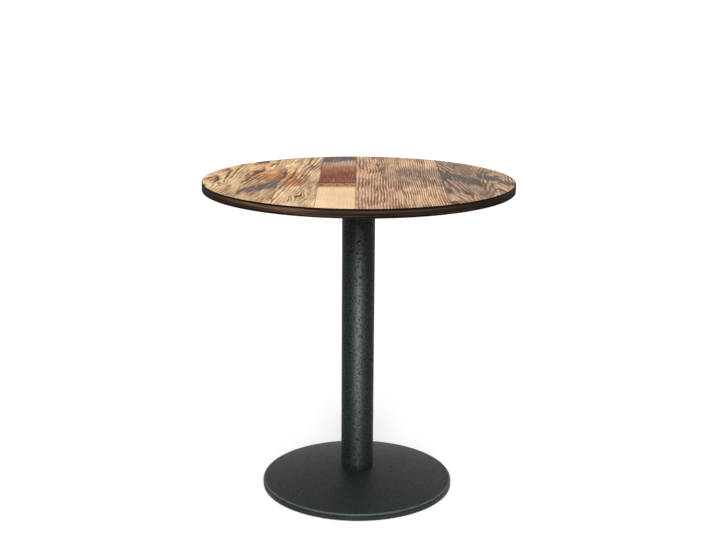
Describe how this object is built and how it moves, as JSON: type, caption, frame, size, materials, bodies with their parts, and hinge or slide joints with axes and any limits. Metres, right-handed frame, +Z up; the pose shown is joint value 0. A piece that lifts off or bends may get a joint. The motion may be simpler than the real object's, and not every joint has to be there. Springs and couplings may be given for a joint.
{
  "type": "round bistro table",
  "caption": "Round pedestal table: wood-pattern laminated top, black steel column and low domed base on levelling feet.",
  "frame": {"origin": "on the floor, on the column's axis", "axes": "+Z up along the column; -Y is the front that the picture shows, +X is its right"},
  "size_m": [0.7099, 0.71, 0.738],
  "materials": {
    "top_laminate": "satin laminate printed with worn boards",
    "edge_band": "satin wood-pattern edging, dark brown",
    "backing_laminate": "matt brown balancing sheet",
    "core_board": "raw fibreboard",
    "black_powder_coat": "fine textured black powder coat",
    "black_casting": "sand-cast iron, black dipped",
    "zinc_steel": "bright zinc plate",
    "spring_steel": "oil-blackened spring steel",
    "foot_plastic": "moulded black plastic"
  },
  "bodies": {
    "table": {"tabletop_core": "core_board", "top_laminate": "top_laminate", "backing_laminate": "backing_laminate", "edge_band": "edge_band", "insert_nuts": "zinc_steel", "top_screws": "zinc_steel", "top_screw_washers": "zinc_steel", "spider": "black_casting", "column_tube": "black_powder_coat", "locating_cup": "zinc_steel", "tie_rod": "zinc_steel", "upper_rod_nut": "zinc_steel", "upper_rod_washer": "zinc_steel", "lower_rod_nut": "zinc_steel", "spring_washer": "spring_steel", "lower_rod_washer": "zinc_steel", "base_cover": "black_powder_coat", "ballast_disc": "black_casting"},
    "pad_1": {"leveller_pad_1": "foot_plastic"},
    "stud_1": {"leveller_stud_1": "zinc_steel"},
    "pad_2": {"leveller_pad_2": "foot_plastic"},
    "stud_2": {"leveller_stud_2": "zinc_steel"},
    "pad_3": {"leveller_pad_3": "foot_plastic"},
    "stud_3": {"leveller_stud_3": "zinc_steel"},
    "pad_4": {"leveller_pad_4": "foot_plastic"},
    "stud_4": {"leveller_stud_4": "zinc_steel"}
  },
  "joints": [
    {"name": "foot_1_travel", "type": "slide", "parent": "table", "child": "pad_1", "axis": [0, 0, -1], "range_m": [0, 0.006]},
    {"name": "foot_1_turn", "type": "hinge", "parent": "pad_1", "child": "stud_1", "pos_m": [0.1294, 0.1294, 0.005], "axis": [0, 0, -1], "range_deg": [0, 1729]},
    {"name": "foot_2_travel", "type": "slide", "parent": "table", "child": "pad_2", "axis": [0, 0, -1], "range_m": [0, 0.006]},
    {"name": "foot_2_turn", "type": "hinge", "parent": "pad_2", "child": "stud_2", "pos_m": [-0.1294, 0.1294, 0.005], "axis": [0, 0, -1], "range_deg": [0, 1729]},
    {"name": "foot_3_travel", "type": "slide", "parent": "table", "child": "pad_3", "axis": [0, 0, -1], "range_m": [0, 0.006]},
    {"name": "foot_3_turn", "type": "hinge", "parent": "pad_3", "child": "stud_3", "pos_m": [-0.1294, -0.1294, 0.005], "axis": [0, 0, -1], "range_deg": [0, 1729]},
    {"name": "foot_4_travel", "type": "slide", "parent": "table", "child": "pad_4", "axis": [0, 0, -1], "range_m": [0, 0.006]},
    {"name": "foot_4_turn", "type": "hinge", "parent": "pad_4", "child": "stud_4", "pos_m": [0.1294, -0.1294, 0.005], "axis": [0, 0, -1], "range_deg": [0, 1729]}
  ],
  "couplings": [
    {"joint": "foot_1_turn", "follows": "foot_1_travel", "rad_per_m": 5026.5},
    {"joint": "foot_2_turn", "follows": "foot_2_travel", "rad_per_m": 5026.5},
    {"joint": "foot_3_turn", "follows": "foot_3_travel", "rad_per_m": 5026.5},
    {"joint": "foot_4_turn", "follows": "foot_4_travel", "rad_per_m": 5026.5}
  ]
}
